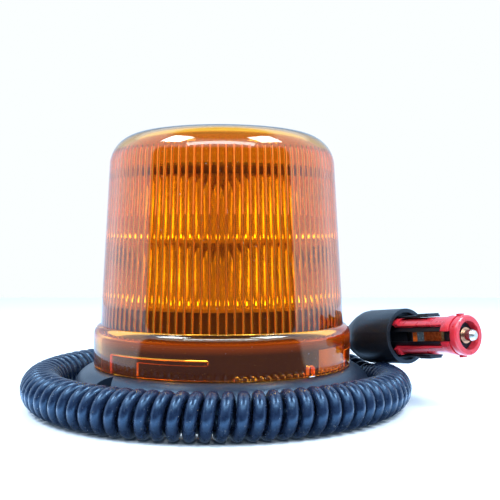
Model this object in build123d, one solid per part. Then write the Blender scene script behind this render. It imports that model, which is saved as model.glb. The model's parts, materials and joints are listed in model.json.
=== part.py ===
"""Magnetic amber warning beacon with a coiled cord and a universal 12 V plug. Millimetres.

The origin is on the beacon's axis at the floor plane. +Z is up, -Y is the front and +X is the plug's side.
Angles are counted from +X towards +Y, so the front is at -90 degrees.
"""

from build123d import *
from math import asin, cos, pi, radians, sin
import os

# Lens
COLLAR_R = 68.0
COLLAR_LOW = 21.2
COLLAR_TOP = 37.0
COLLAR_BORE_R = 64.6
WALL_LOW_R = 64.4
WALL_LOW = 42.4
WALL_TOP_R = 59.8
WALL_TOP = 126.1
SHOULDER_END_R = 44.4
SHOULDER_END = 141.7
LENS_TOP = 143.1
LENS_WALL = 3.1
LEDGE = 37.5
FLUTES = 100
FLUTE_DEPTH = 1.2

# Bayonet and catch, with angles from the front towards the plug's side
GROOVE_START = -52.6
GROOVE_END = -3.4
GROOVE_ENTRY_END = -34.5
GROOVE_LOW = 28.2
GROOVE_HIGH = 30.7
GROOVE_R = 66.3
LUG_SPAN = 16.0
LUG_GAP = 0.25
NOTCH_ANGLE = 40.5
NOTCH_SPAN = 3.9
NOTCH_HIGH = 26.4
SCALLOP_ANGLES = [7.7 + 3.2 * i for i in range(10)] + [46.0 + 3.2 * i for i in range(6)]
SCALLOP_R = 1.4

# Base
SKIRT_R = 78.2
SKIRT_LOW = 1.5
SKIRT_WIDEST = 9.6
SHOULDER_R = 11.2
DECK_HOLE_R = 40.0
BASE_WALL = 3.0
UPSTAND_R = 64.1
UPSTAND_TOP = 36.1
SEAL_THICKNESS = 1.2

# Lamp column
PEDESTAL_R = 46.5
PEDESTAL_TOP = 50.8
TIER_HEIGHT = 33.4
TIERS = 2
BOARD_T = 1.6
BOARD_R = 45.0
REFLECTOR_R = 45.6
CELLS = 8
LED_RING_R = 34.0
CELL_APEX_R = 23.2
POST_R = 4.0
TOP_PLATE_R = 46.8
TOP_PLATE_T = 5.4

# Floor side: pad, magnets, closing plate and driver board
PAD_R = 70.0
PAD_T = 2.0
MAGNET_R = 17.0
MAGNET_RING_R = 40.0
MAGNET_T = 4.0
CUP_WALL = 1.6
PLATE_R = 74.0
PLATE_LOW = 8.2
PLATE_T = 1.4
DRIVER_LOW = 14.0
TERMINAL_X = -14.0
TERMINAL_Y = 27.0

# Cord
CORD_R = 2.8
LEAD_GAP = 0.3
COIL_CENTRE = (-2.2, 1.2)
COIL_RING_R = 92.4
COIL_START = 105.0
COIL_TURNS = 78
TURNS_PER_CIRCLE = 88
COIL_R_FRONT = 8.0
COIL_R_PLUG = 6.4
PLUG_AZIMUTH = 20.0
PRESSED_AZIMUTH = 22.0
PRESSED_SPAN = 15.0
PRESSED_DEPTH = 1.6
COIL_POINTS = 12
COIL_RUN = 13

# Plug, along its own axis from the housing's rim towards the tip
PLUG_RIM = (102.1, 13.4, 33.3)
PLUG_HEADING = -56.0
PLUG_TILT = 5.755
HOUSING_R = 15.3
HOUSING_LENGTH = 42.5
HOUSING_BORE_R = 13.0
HOUSING_BORE_REAR = -29.5
NOSE_R = 10.35
NOSE_LENGTH = 43.8
NOSE_BORE_R = 7.4
ARM_R = 9.9
ARM_T = 1.7
ARM_END = 33.2
WINDOW_HALF_ANGLE = 37.0
CORE_R = 7.9
CORE_NOSE_R = 7.1
CORE_REAR = -25.0
CORE_END = 39.5
PIN_R = 2.9
PIN_END = 48.0
TIP_TRAVEL = 2.5
LEAF_WIDTH = 4.8
LEAF_T = 0.5
LEAF_REAR = 7.3
LEAF_FOOT = 33.0
LEAF_SEAT = 7.5
BULGE_AT = 14.4
BULGE_R = 10.2
SPRING_FLOOR = 8.0
BORE_END = 37.0
PIN_COLLAR = 34.9
TIER_GROOVE = 38.6
PAD_START = 11.2
PAD_LENGTH = 9.5

FRONT = -90.0


def turned(points):
    """A solid of revolution from (radius, height) corners."""
    profile = make_face(Polyline([(r, 0, z) for r, z in points], close=True))
    return revolve(profile, Axis.Z)


def ring(inner, outer, low, high):
    if inner == 0:
        return turned([(0, low), (outer, low), (outer, high), (0, high)])
    return turned([(inner, low), (outer, low), (outer, high), (inner, high)])


def sector(inner, outer, low, high, start, span):
    """A block between two radii and two heights, from the angle start over span degrees."""
    corners = [(inner, 0, low), (outer, 0, low), (outer, 0, high), (inner, 0, high)]
    block = revolve(make_face(Polyline(corners, close=True)), Axis.Z, span)
    return Rot(0, 0, start) * block


def polar(radius, angle, height=0.0):
    return (radius * cos(radians(angle)), radius * sin(radians(angle)), height)


def rod(radius, low, high, at=(0, 0)):
    length = high - low
    return Pos(at[0], at[1], low + length / 2) * Cylinder(radius, length)


def block(size, centre):
    return Pos(*centre) * Box(*size)


def tube_along(points, radius, start=None, end=None):
    """A round cord through points, with optional end directions."""
    tangents = (Vector(*start).normalized(), Vector(*end).normalized()) if start else None
    path = Edge.make_spline([Vector(*p) for p in points], tangents=tangents, scale=False)
    section = Plane(origin=path @ 0, z_dir=path % 0) * Circle(radius)
    return sweep(section, path=path)


def screw(length, radius=1.5, head_radius=2.8, head=1.8):
    """A pan-head screw with its head's seat at z = 0 and its shank going down."""
    body = rod(radius, -length, 0.2) + rod(head_radius, 0, head)
    slot = block((head_radius * 1.3, 0.8, head), (0, 0, head * 1.1))
    cross = Rot(0, 0, 90) * slot
    return body - slot - cross


# ---------------------------------------------------------------- lens


def crown_arc(inset):
    """The gently crowned top, an arc whose centre is on the axis."""
    rise = LENS_TOP - SHOULDER_END
    radius = (SHOULDER_END_R**2 + rise**2) / (2 * rise)
    half = asin(SHOULDER_END_R / radius) / 2
    top = LENS_TOP - inset
    middle = (radius * sin(half), 0, top - radius * (1 - cos(half)))
    return ThreePointArc((SHOULDER_END_R, 0, top - rise), middle, (0, 0, top))


def dome_outline(inset, low_r, low):
    """Edges from (low_r, low) up the wall and over the shoulder to the axis, inset from the outside."""
    wall_low = (WALL_LOW_R - inset, 0, WALL_LOW)
    wall_top = (WALL_TOP_R - inset, 0, WALL_TOP)
    shoulder_end = (SHOULDER_END_R, 0, SHOULDER_END - inset)
    wall_way = (WALL_TOP_R - WALL_LOW_R, 0, WALL_TOP - WALL_LOW)
    shoulder = TangentArc(wall_top, shoulder_end, tangent=wall_way)
    over = crown_arc(inset)
    side = Line(wall_low, wall_top)
    if inset:
        return [Line((low_r, 0, low), wall_low), side, shoulder, over]
    fillet = TangentArc((low_r, 0, low), wall_low, tangent=(0, 0, 1))
    return [fillet, side, shoulder, over]


def lens_outside():
    foot = [
        Line((0, 0, COLLAR_LOW), (COLLAR_R - 0.6, 0, COLLAR_LOW)),
        Line((COLLAR_R - 0.6, 0, COLLAR_LOW), (COLLAR_R, 0, COLLAR_LOW + 0.6)),
        Line((COLLAR_R, 0, COLLAR_LOW + 0.6), (COLLAR_R, 0, COLLAR_TOP)),
    ]
    rise = dome_outline(0, COLLAR_R, COLLAR_TOP)
    axis_line = Line((0, 0, LENS_TOP), (0, 0, COLLAR_LOW))
    return revolve(make_face(Wire([*foot, *rise, axis_line])), Axis.Z)


def lens_inside():
    bore_r = WALL_LOW_R - LENS_WALL + 0.1
    rise = dome_outline(LENS_WALL, bore_r, LEDGE)
    under = Line((0, 0, LEDGE), (bore_r, 0, LEDGE))
    axis_line = Line((0, 0, LENS_TOP - LENS_WALL), (0, 0, LEDGE))
    dome = revolve(make_face(Wire([under, *rise, axis_line])), Axis.Z)
    return dome + ring(0, COLLAR_BORE_R, COLLAR_LOW - 1, LEDGE)


def flute_outline(radius, height):
    """A closed zigzag whose valleys are on radius and whose ridges are inside it."""
    corners = []
    for i in range(FLUTES):
        corners.append(polar(radius, 360.0 * i / FLUTES, height))
        corners.append(polar(radius - FLUTE_DEPTH, 360.0 * (i + 0.5) / FLUTES, height))
    return Polyline(corners, close=True)


def flute_ridges():
    root = 0.3
    low_r = WALL_LOW_R - LENS_WALL + root
    high_r = WALL_TOP_R - LENS_WALL + root
    outlines = [make_face(flute_outline(low_r, WALL_LOW)), make_face(flute_outline(high_r, WALL_TOP))]
    shell = turned([(0, WALL_LOW), (low_r + root, WALL_LOW), (high_r + root, WALL_TOP), (0, WALL_TOP)])
    return shell - loft(outlines, ruled=True)


def make_lens():
    lens = lens_outside() - lens_inside() + flute_ridges()
    cuts = []
    groove_span = GROOVE_END - GROOVE_START
    entry_span = GROOVE_ENTRY_END - GROOVE_START
    start = FRONT + GROOVE_START
    inner = COLLAR_BORE_R - 0.6
    for turn in (0, 120, 240):
        cuts.append(sector(inner, GROOVE_R, GROOVE_LOW, GROOVE_HIGH, start + turn, groove_span))
        cuts.append(sector(inner, GROOVE_R, COLLAR_LOW - 1, GROOVE_HIGH, start + turn, entry_span))
    notch_start = FRONT + NOTCH_ANGLE - NOTCH_SPAN / 2
    cuts.append(sector(inner, COLLAR_R + 1, COLLAR_LOW - 1, NOTCH_HIGH, notch_start, NOTCH_SPAN))
    for angle in SCALLOP_ANGLES:
        x, y, _ = polar(COLLAR_BORE_R, FRONT + angle)
        cuts.append(rod(SCALLOP_R, COLLAR_LOW - 1, COLLAR_LOW + 2.2, (x, y)))
    return lens - cuts


def make_lens_seal():
    low = UPSTAND_TOP + 0.02
    return ring(UPSTAND_R - 2.6, UPSTAND_R - 0.3, low, low + SEAL_THICKNESS)


# ---------------------------------------------------------------- base

CATCH_WIDTH = 4.2
CATCH_OUT_R = 64.35
CATCH_IN_R = 57.0
CATCH_TRAVEL = 1.5
SPRING_SEAT_R = 51.0
DECK_TOP = SKIRT_WIDEST + SHOULDER_R
DECK_LOW = DECK_TOP - BASE_WALL
SHOULDER_TOP_R = SKIRT_R - SHOULDER_R
GROMMET_ANGLE = 98.0
GROMMET_Z = 13.8
GROMMET_HOLE_R = 3.75
PRY_CORNER = (-50.3, -47.5)
PRY_FLOOR = 13.5
LABEL_SPANS = ((46.5, 38.5), (-97.5, 33.0))
LABEL_LOW = 21.9
LABEL_HIGH = 33.0
SCREW_RING_R = 68.0


def base_shell():
    """The skirt, its rounded shoulder, the deck and the upstand ring, as one turned shell."""
    wall = BASE_WALL
    outer = TangentArc((SKIRT_R, 0, SKIRT_WIDEST), (SHOULDER_TOP_R, 0, DECK_TOP), tangent=(0, 0, 1))
    inner = TangentArc((SKIRT_R - wall, 0, SKIRT_WIDEST), (SHOULDER_TOP_R, 0, DECK_LOW), tangent=(0, 0, 1))
    upstand = [
        (SHOULDER_TOP_R, 0, DECK_TOP),
        (UPSTAND_R, 0, DECK_TOP),
        (UPSTAND_R, 0, UPSTAND_TOP),
        (UPSTAND_R - wall, 0, UPSTAND_TOP),
        (UPSTAND_R - wall, 0, DECK_TOP),
        (DECK_HOLE_R, 0, DECK_TOP),
        (DECK_HOLE_R, 0, DECK_LOW),
        (SHOULDER_TOP_R, 0, DECK_LOW),
    ]
    foot = [
        (SKIRT_R - wall, 0, SKIRT_WIDEST),
        (SKIRT_R - wall, 0, SKIRT_LOW),
        (SKIRT_R - 1.2, 0, SKIRT_LOW),
        (SKIRT_R, 0, SKIRT_WIDEST),
    ]
    edges = [outer, inner, *Polyline(upstand).edges(), *Polyline(foot).edges()]
    return revolve(make_face(Wire(edges)), Axis.Z)


def make_base_housing():
    base = base_shell()
    lug_start = FRONT + GROOVE_END - LUG_GAP - LUG_SPAN
    for turn in (0, 120, 240):
        base += sector(
            UPSTAND_R - 1, GROOVE_R - LUG_GAP, GROOVE_LOW + LUG_GAP, GROOVE_HIGH - LUG_GAP, lug_start + turn, LUG_SPAN
        )
    for at in screw_places():
        base += rod(4.0, PLATE_LOW + PLATE_T, DECK_LOW + 0.5, at)
    for at in driver_screw_places():
        base += rod(3.0, DRIVER_LOW + BOARD_T + 0.05, DECK_LOW + 0.5, at)
    base += [Rot(0, 0, turn) * pry_recess_backing() for turn in (0, 180)]
    spring_seat = block((2.0, 8.0, 7.0), (SPRING_SEAT_R - 1.0, 0, DECK_TOP + 3.4))
    base += Rot(0, 0, FRONT + NOTCH_ANGLE) * spring_seat
    cuts = [Rot(0, 0, FRONT + NOTCH_ANGLE) * block((8.0, CATCH_WIDTH + 0.2, 6.2), (63.0, 0, DECK_TOP + 3.2))]
    cuts += [Rot(0, 0, turn) * pry_recess() for turn in (0, 180)]
    hole = Rot(0, 90, 0) * Cylinder(GROMMET_HOLE_R, 14)
    cuts.append(Rot(0, 0, GROMMET_ANGLE) * Pos(SKIRT_R - 1, 0, GROMMET_Z) * hole)
    cuts += [rod(1.25, PLATE_LOW, DECK_LOW - 1.0, at) for at in screw_places()]
    cuts += [rod(1.0, DRIVER_LOW, DECK_TOP - 1.0, at) for at in driver_screw_places()]
    cuts += [rod(1.25, DECK_LOW - 1, DECK_TOP + 1, at) for at in pedestal_screw_places()]
    return base - cuts


def pry_recess():
    """A square-cornered recess in the rounded shoulder, for a screwdriver's blade."""
    reach = 14.0
    height = DECK_TOP - PRY_FLOOR + 1
    x, y = PRY_CORNER
    return block((reach, reach, height), (x - reach / 2, y - reach / 2, PRY_FLOOR + height / 2))


def pry_recess_backing():
    """The thick wall behind and under a recess, inside the base."""
    return sector(SHOULDER_TOP_R - 1.0, SHOULDER_TOP_R + 7.4, PRY_FLOOR - 2.5, DECK_LOW, FRONT - 56.0, 19.0)


def make_rating_labels():
    """Two blank labels on the upstand, seen through the lens's collar."""
    low_r = UPSTAND_R + 0.01
    labels = []
    for start, span in LABEL_SPANS:
        labels.append(sector(low_r, low_r + 0.14, LABEL_LOW, LABEL_HIGH, FRONT + start, span))
    return Compound(labels)


def screw_places():
    return [polar(SCREW_RING_R, angle)[:2] for angle in range(15, 375, 60)]


def driver_screw_places():
    return [polar(DECK_HOLE_R + 2.5, angle)[:2] for angle in (30, 150, 270)]


def pedestal_screw_places():
    return [polar(PEDESTAL_R + 4.5, angle)[:2] for angle in (0, 120, 240)]


def make_lens_catch():
    length = CATCH_OUT_R - CATCH_IN_R
    body = block((length, CATCH_WIDTH, 5.4), (CATCH_IN_R + length / 2, 0, DECK_TOP + 3.0))
    nose_cut = Pos(CATCH_OUT_R + 0.4, 0, DECK_TOP + 6.2) * Rot(0, 35, 0) * Box(3, CATCH_WIDTH + 1, 3)
    flange = block((1.4, CATCH_WIDTH + 3.0, 5.4), (CATCH_IN_R + 0.7, 0, DECK_TOP + 3.0))
    return Rot(0, 0, FRONT + NOTCH_ANGLE) * (body + flange - nose_cut)


def helix_spring(radius, wire, length, turns):
    """An open coil spring along +Z from z = 0, measured between its wire's centres."""
    path = Helix(pitch=length / turns, height=length, radius=radius)
    section = Plane(origin=path @ 0, z_dir=path % 0) * Circle(wire)
    return sweep(section, path=path, is_frenet=True)


def make_catch_spring():
    length = CATCH_IN_R - SPRING_SEAT_R - CATCH_TRAVEL - 1.4
    spring = Rot(0, 90, 0) * helix_spring(1.7, 0.3, length, 4)
    return Rot(0, 0, FRONT + NOTCH_ANGLE) * Pos(CATCH_IN_R - length - 0.5, 0, DECK_TOP + 3.0) * spring


def make_base_plate():
    plate = ring(0, PLATE_R, PLATE_LOW, PLATE_LOW + PLATE_T)
    holes = [rod(1.7, PLATE_LOW - 1, PLATE_LOW + 3, at) for at in screw_places()]
    holes += [rod(1.7, PLATE_LOW - 1, PLATE_LOW + 3, at) for at in magnet_places()]
    return plate - holes


def make_base_screws():
    seat = Rot(180, 0, 0) * screw(8.0, 1.2)
    return Compound([Pos(x, y, PLATE_LOW - 0.02) * seat for x, y in screw_places()])


def magnet_places():
    return [polar(MAGNET_RING_R, angle)[:2] for angle in (90, 210, 330)]


def make_magnet_cups():
    top = PLATE_LOW - 0.05
    floor = top - CUP_WALL
    outer = MAGNET_R + CUP_WALL + 0.4
    cup = ring(0, outer, PAD_T + 0.4, top) - ring(0, MAGNET_R + 0.4, PAD_T, floor) - rod(1.7, 0, top + 1)
    return Compound([Pos(x, y, 0) * cup for x, y in magnet_places()])


def make_magnets():
    top = PLATE_LOW - 0.05 - CUP_WALL - 0.03
    disc = ring(0, MAGNET_R, top - MAGNET_T, top)
    disc -= Pos(0, 0, top - MAGNET_T) * Cone(4.2, 1.9, 5.0, align=(Align.CENTER, Align.CENTER, Align.MIN))
    return Compound([Pos(x, y, 0) * disc for x, y in magnet_places()])


def make_magnet_screws():
    head_low = PLATE_LOW - 0.05 - CUP_WALL - 0.03 - MAGNET_T + 0.05
    head = Cone(3.2, 1.5, 2.4, align=(Align.CENTER, Align.CENTER, Align.MIN))
    body = head + rod(1.5, 1.0, PLATE_LOW + PLATE_T + 3.0 - head_low)
    nut_low = PLATE_LOW + PLATE_T + 0.02
    nut = extrude(Pos(0, 0, nut_low) * RegularPolygon(2.9, 6), 2.2) - rod(1.55, 0, 20)
    one = Pos(0, 0, head_low) * body
    places = magnet_places()
    return Compound([Pos(x, y, 0) * one for x, y in places]), Compound([Pos(x, y, 0) * nut for x, y in places])


def make_magnet_pad():
    disc = ring(0, PAD_R, 0, PAD_T)
    rim = turned([(PAD_R - 2, PAD_T), (PAD_R, PAD_T), (PAD_R - 0.4, PAD_T + 3.6), (PAD_R - 2, PAD_T + 3.6)])
    grooves = [ring(r, r + 1.6, -1, 0.6) for r in (20, 34, 48, 60)]
    return disc + rim - grooves


# ---------------------------------------------------------------- lamp column


def tier_low(tier):
    return PEDESTAL_TOP + 0.1 + tier * TIER_HEIGHT


def make_pedestal():
    wall = 2.6
    drum = turned([
        (PEDESTAL_R - wall, DECK_TOP + 0.05),
        (PEDESTAL_R, DECK_TOP + 0.05),
        (PEDESTAL_R, PEDESTAL_TOP),
        (0, PEDESTAL_TOP),
        (0, PEDESTAL_TOP - wall),
        (PEDESTAL_R - wall, PEDESTAL_TOP - wall),
    ])
    for x, y in pedestal_screw_places():
        angle = Vector(x, y).get_angle(Vector(1, 0)) * (1 if y >= 0 else -1)
        drum += Rot(0, 0, angle) * block((9.0, 9.0, 3.0), (PEDESTAL_R + 3.2, 0, DECK_TOP + 1.55))
    drum -= [rod(1.7, DECK_TOP - 1, DECK_TOP + 5, at) for at in pedestal_screw_places()]
    drum -= rod(POST_R + 0.1, PEDESTAL_TOP - 5, PEDESTAL_TOP + 1)
    return drum - [rod(2.2, PEDESTAL_TOP - 5, PEDESTAL_TOP + 1, at) for at in wire_places()]


def wire_places():
    return [(-9.0, 0.0), (9.0, 0.0)]


def make_pedestal_screws():
    one = screw(4.6, 1.2)
    return Compound([Pos(x, y, DECK_TOP + 3.1) * one for x, y in pedestal_screw_places()])


def make_led_board(tier):
    low = tier_low(tier)
    board = ring(POST_R + 0.2, BOARD_R, low, low + BOARD_T)
    return board - [rod(2.2, low - 1, low + 3, at) for at in wire_places()]


def led_angles():
    return [FRONT + 360.0 * (i + 0.5) / CELLS for i in range(CELLS)]


def make_led_packages():
    packages = []
    for tier in range(TIERS):
        low = tier_low(tier) + BOARD_T + 0.02
        package = block((5.0, 5.0, 1.0), (LED_RING_R, 0, low + 0.5))
        packages += [Rot(0, 0, angle) * package for angle in led_angles()]
    return Compound(packages)


def make_led_domes():
    domes = []
    for tier in range(TIERS):
        low = tier_low(tier) + BOARD_T + 1.04
        half = Sphere(2.0) & Pos(0, 0, 1.5) * Box(6, 6, 3)
        domes += [Rot(0, 0, angle) * Pos(LED_RING_R, 0, low) * half for angle in led_angles()]
    return Compound(domes)


def scoop():
    """A paraboloid along +X with its focus over the LED ring, which opens at the reflector's edge."""
    reach = REFLECTOR_R + 3.0
    focal = LED_RING_R - CELL_APEX_R
    half_height = (4 * focal * (reach - CELL_APEX_R)) ** 0.5
    curve = Bezier((CELL_APEX_R, 0), (CELL_APEX_R, half_height / 2), (reach, half_height))
    edges = [curve, Line((reach, half_height), (reach, 0)), Line((reach, 0), (CELL_APEX_R, 0))]
    return revolve(make_face(Wire(edges)), Axis.X)


def make_reflector(tier):
    low = tier_low(tier) + BOARD_T + 0.03
    high = tier_low(tier + 1) - 0.05
    body = ring(POST_R + 0.2, REFLECTOR_R, low, high)
    cell = scoop()
    for angle in led_angles():
        body -= Rot(0, 0, angle) * Pos(0, 0, low - 0.4) * cell
    return body - [rod(2.2, low - 1, high + 1, at) for at in wire_places()]


def make_core_post():
    high = tier_low(TIERS) + TOP_PLATE_T + 5.5
    stud = rod(POST_R - 1.5, PEDESTAL_TOP - 9, high)
    sleeve = rod(POST_R, PEDESTAL_TOP - 2.6, tier_low(TIERS) - 0.1)
    return stud + sleeve


def make_column_nut():
    low = tier_low(TIERS) + TOP_PLATE_T + 0.05
    top_nut = extrude(Pos(0, 0, low) * RegularPolygon(4.6, 6), 3.6)
    low_nut = extrude(Pos(0, 0, PEDESTAL_TOP - 2.65 - 3.6) * RegularPolygon(4.6, 6), 3.6)
    return Compound([nut - rod(POST_R - 1.45, 0, 200) for nut in (top_nut, low_nut)])


def make_top_plate():
    low = tier_low(TIERS)
    plate = turned([
        (0, low),
        (TOP_PLATE_R, low),
        (TOP_PLATE_R, low + TOP_PLATE_T - 1.5),
        (TOP_PLATE_R - 1.5, low + TOP_PLATE_T),
        (0, low + TOP_PLATE_T),
    ])
    plate -= rod(POST_R - 1.4, low - 1, low + TOP_PLATE_T + 1)
    ribs = [ring(r, r + 1.2, low - 0.01, low + 2.0) for r in (20, 32)]
    return plate - ribs


# ---------------------------------------------------------------- driver


def terminal_pins():
    return [(TERMINAL_X - 2.75, TERMINAL_Y), (TERMINAL_X + 2.75, TERMINAL_Y)]


def make_driver_board():
    board = ring(0, DECK_HOLE_R + 5.5, DRIVER_LOW, DRIVER_LOW + BOARD_T)
    board -= [rod(1.5, DRIVER_LOW - 1, DRIVER_LOW + 3, at) for at in terminal_pins()]
    return board - [rod(1.6, DRIVER_LOW - 1, DRIVER_LOW + 3, at) for at in driver_screw_places()]


def make_board_screws():
    one = Rot(180, 0, 0) * screw(4.6, 0.95, 2.2, 1.4)
    return Compound([Pos(x, y, DRIVER_LOW - 0.02) * one for x, y in driver_screw_places()])


BOARD_TOP = DRIVER_LOW + BOARD_T + 0.03


def make_driver_capacitors():
    return Compound([rod(5.0, BOARD_TOP, BOARD_TOP + 16.0, at) for at in ((-24.0, 8.0), (-24.0, -6.0))])


def make_driver_inductor():
    core = ring(4.0, 9.5, BOARD_TOP, BOARD_TOP + 8.0)
    return Pos(18, 14, 0) * fillet(core.edges(), 1.2)


def make_driver_chips():
    places = [(14.0, -10.0, 6.0, 5.0), (24.0, -12.0, 5.0, 4.0), (0.0, -24.0, 9.0, 6.0)]
    return Compound([block((w, d, 1.6), (x, y, BOARD_TOP + 0.8)) for x, y, w, d in places])


def make_supply_terminal():
    body = block((11.0, 8.0, 9.0), (TERMINAL_X, TERMINAL_Y, BOARD_TOP + 4.5))
    return body - [rod(1.6, BOARD_TOP + 5, BOARD_TOP + 12, at) for at in terminal_pins()]


def make_led_wires():
    top = tier_low(1) - 0.5
    return Compound([rod(0.9, BOARD_TOP, top, at) for at in wire_places()])


def make_supply_wires():
    """Two wires from the cord's end, under the driver board and up through it to the terminal."""
    start = Vector(*polar(SKIRT_R - 9.3, GROMMET_ANGLE, GROMMET_Z))
    wires = []
    for side, (x, y) in zip((-1, 1), terminal_pins()):
        points = [start + Vector(side * 1.3, 0, 0), Vector(x, y + 14, 11.8), Vector(x, y, BOARD_TOP - 0.1)]
        wires.append(tube_along([tuple(p) for p in points], 0.8, polar(-1.0, GROMMET_ANGLE), (0, 0, 1)))
    return Compound(wires)


# ---------------------------------------------------------------- cord


def coil_radius(azimuth):
    """The coil's own winding radius: stretched thinner on the plug's side and pressed down under the plug."""
    stretched = max(0.0, cos(radians((azimuth - PLUG_AZIMUTH) * 1.2))) ** 2
    away = min(abs(azimuth - PRESSED_AZIMUTH) / PRESSED_SPAN, 1.0)
    pressed = cos(pi / 2 * away) ** 2
    return COIL_R_FRONT + (COIL_R_PLUG - COIL_R_FRONT) * stretched - PRESSED_DEPTH * pressed


def coil_point(turn):
    """A point of the cord's centre line, counted in turns from the coil's start at its lowest point."""
    azimuth = COIL_START + 360.0 * turn / TURNS_PER_CIRCLE
    wind = 2 * pi * (turn - 0.25)
    winding = coil_radius(azimuth % 360.0 if azimuth % 360.0 < 180 else azimuth % 360.0 - 360.0)
    radius = COIL_RING_R + winding * cos(wind)
    x, y, _ = polar(radius, azimuth)
    return Vector(COIL_CENTRE[0] + x, COIL_CENTRE[1] + y, CORD_R + 0.05 + winding * (1 + sin(wind)))


def coil_way(turn):
    step = 1e-4
    return (coil_point(turn + step) - coil_point(turn - step)).normalized()


COIL_END_TURN = COIL_TURNS + 0.25


def make_coil():
    runs = []
    for first in range(0, COIL_TURNS, COIL_RUN):
        last = first + COIL_RUN
        if last >= COIL_TURNS:
            last = COIL_END_TURN
        steps = round((last - first) * COIL_POINTS)
        turns = [first + (last - first) * i / steps for i in range(steps + 1)]
        ends = (coil_way(turns[0]), coil_way(turns[-1]))
        runs.append(Edge.make_spline([coil_point(t) for t in turns], tangents=ends, scale=False))
    section = Plane(origin=runs[0] @ 0, z_dir=runs[0] % 0) * Circle(CORD_R)
    return sweep(section, path=Wire(runs), is_frenet=True)


def make_root_lead():
    """The cord's root: straight through the base's wall, then down to the coil's first turn."""
    straight_end = SKIRT_R + 2.0
    straight = Rot(0, 90, 0) * ring(0, CORD_R, SKIRT_R - 9.0, straight_end)
    start = polar(straight_end, GROMMET_ANGLE, GROMMET_Z)
    bend = tube_along([start, tuple(coil_point(0))], CORD_R, polar(1.0, GROMMET_ANGLE), tuple(coil_way(0)))
    return Rot(0, 0, GROMMET_ANGLE) * Pos(0, 0, GROMMET_Z) * straight + bend


def make_coiled_cord():
    return make_coil() + make_root_lead()


def make_cable_grommet():
    bore = CORD_R + 0.1
    sleeve = ring(bore, GROMMET_HOLE_R - 0.05, -5.0, 0.2)
    flange = turned([(bore, 0.1), (GROMMET_HOLE_R + 1.9, 0.1), (GROMMET_HOLE_R + 1.2, 1.6), (bore, 1.6)])
    shape = Rot(0, 90, 0) * (sleeve + flange)
    return Rot(0, 0, GROMMET_ANGLE) * Pos(SKIRT_R, 0, GROMMET_Z) * shape


# ---------------------------------------------------------------- plug

HEADING = Vector(*polar(cos(radians(PLUG_TILT)), PLUG_HEADING, sin(radians(PLUG_TILT))))
UPWARD = Vector(*polar(-sin(radians(PLUG_TILT)), PLUG_HEADING, cos(radians(PLUG_TILT))))
PLUG_FRAME = Plane(origin=PLUG_RIM, x_dir=HEADING, z_dir=UPWARD).location
TAIL_END = -HOUSING_LENGTH - 15.0
CORD_END = -HOUSING_LENGTH + 6.0


def place(shape):
    """Moves a shape from the plug's own frame, with +X towards the tip, to its place."""
    return PLUG_FRAME * shape


def lathe(points):
    """A solid of revolution round the plug's axis, from (along, radius) corners."""
    return revolve(make_face(Polyline([(x, r, 0) for x, r in points], close=True)), Axis.X)


def barrel(start, end, outer, inner=0.0):
    return lathe([(start, inner), (end, inner), (end, outer), (start, outer)])


def make_plug_housing():
    """The black body, tapered towards the cord, with two tongues that end in finger pads."""
    rear = -HOUSING_LENGTH
    outside = lathe([
        (rear, 0),
        (rear, 8.0),
        (rear + 1.0, 9.2),
        (rear + 3.5, 10.7),
        (rear + 8.5, 13.3),
        (rear + 12.5, 14.8),
        (rear + 16.0, HOUSING_R),
        (0, HOUSING_R),
        (0, 0),
    ])
    bores = [
        barrel(HOUSING_BORE_REAR, 1, HOUSING_BORE_R),
        barrel(rear + 3.5, HOUSING_BORE_REAR + 1, 7.6),
        barrel(rear - 1, rear + 4, 4.4),
    ]
    tongue_root = block((3.5, 10.0, 2.8), (-4.8, 0, ARM_R + 1.6))
    tongue = block((24.0, 10.0, 1.0), (8.7, 0, ARM_R + 0.7))
    pad_end = Pos(PAD_START, 0, ARM_R + 2.3) * Rot(0, -30, 0) * Box(4, 10, 2)
    pad = block((PAD_LENGTH, 8.4, 1.4), (PAD_START + PAD_LENGTH / 2, 0, ARM_R + 1.4)) - pad_end
    lever = tongue_root + tongue + pad
    return place(outside - bores + lever + Rot(180, 0, 0) * lever)


def make_plug_tail_sleeve():
    rear = -HOUSING_LENGTH
    sleeve = lathe([
        (TAIL_END + 1.0, CORD_R + 0.1),
        (TAIL_END + 1.0, CORD_R + 1.2),
        (rear - 0.1, 5.6),
        (rear - 0.1, 4.3),
        (rear + 3.6, 4.3),
        (rear + 3.6, 7.0),
        (rear + 5.0, 7.0),
        (rear + 5.0, CORD_R + 0.1),
    ])
    return place(sleeve)


def make_plug_core():
    """The insulating core: a flange glued in the housing, the contacts' slots and the tip's bore."""
    flange = barrel(CORE_REAR, CORE_REAR + 6, HOUSING_BORE_R - 0.1)
    body = barrel(CORE_REAR, ARM_END - 0.6, CORE_R) + barrel(ARM_END - 1.6, CORE_END, CORE_NOSE_R)
    bore = barrel(SPRING_FLOOR, BORE_END, 4.5) + barrel(CORE_REAR - 1, SPRING_FLOOR + 1, 2.0)
    bore += barrel(BORE_END - 1, CORE_END + 1, PIN_R + 0.1)
    slot_start = -6.8
    slot_length = LEAF_FOOT + 0.6 - slot_start
    slot = block((slot_length, 5.0, LEAF_WIDTH + 0.6), (slot_start + slot_length / 2, 7.7, 0))
    slots = [slot, Rot(180, 0, 0) * slot]
    wire_ways = [Pos(0, side * 10.0, 0) * barrel(CORE_REAR - 1, CORE_REAR + 7, 1.5) for side in (-1, 1)]
    return place(flange + body - bore - slots - wire_ways)


def make_centre_contact():
    pin = barrel(PIN_COLLAR, PIN_END - 2.0, PIN_R)
    nose = lathe([(PIN_END - 2.2, 0), (PIN_END - 2.2, PIN_R), (PIN_END - 0.8, 2.4), (PIN_END, 1.5), (PIN_END, 0)])
    collar = barrel(PIN_COLLAR, PIN_COLLAR + 2.0, 4.2)
    tail = barrel(SPRING_FLOOR + 0.5, PIN_COLLAR + 0.5, 1.5)
    return place(pin + nose + collar + tail)


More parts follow.
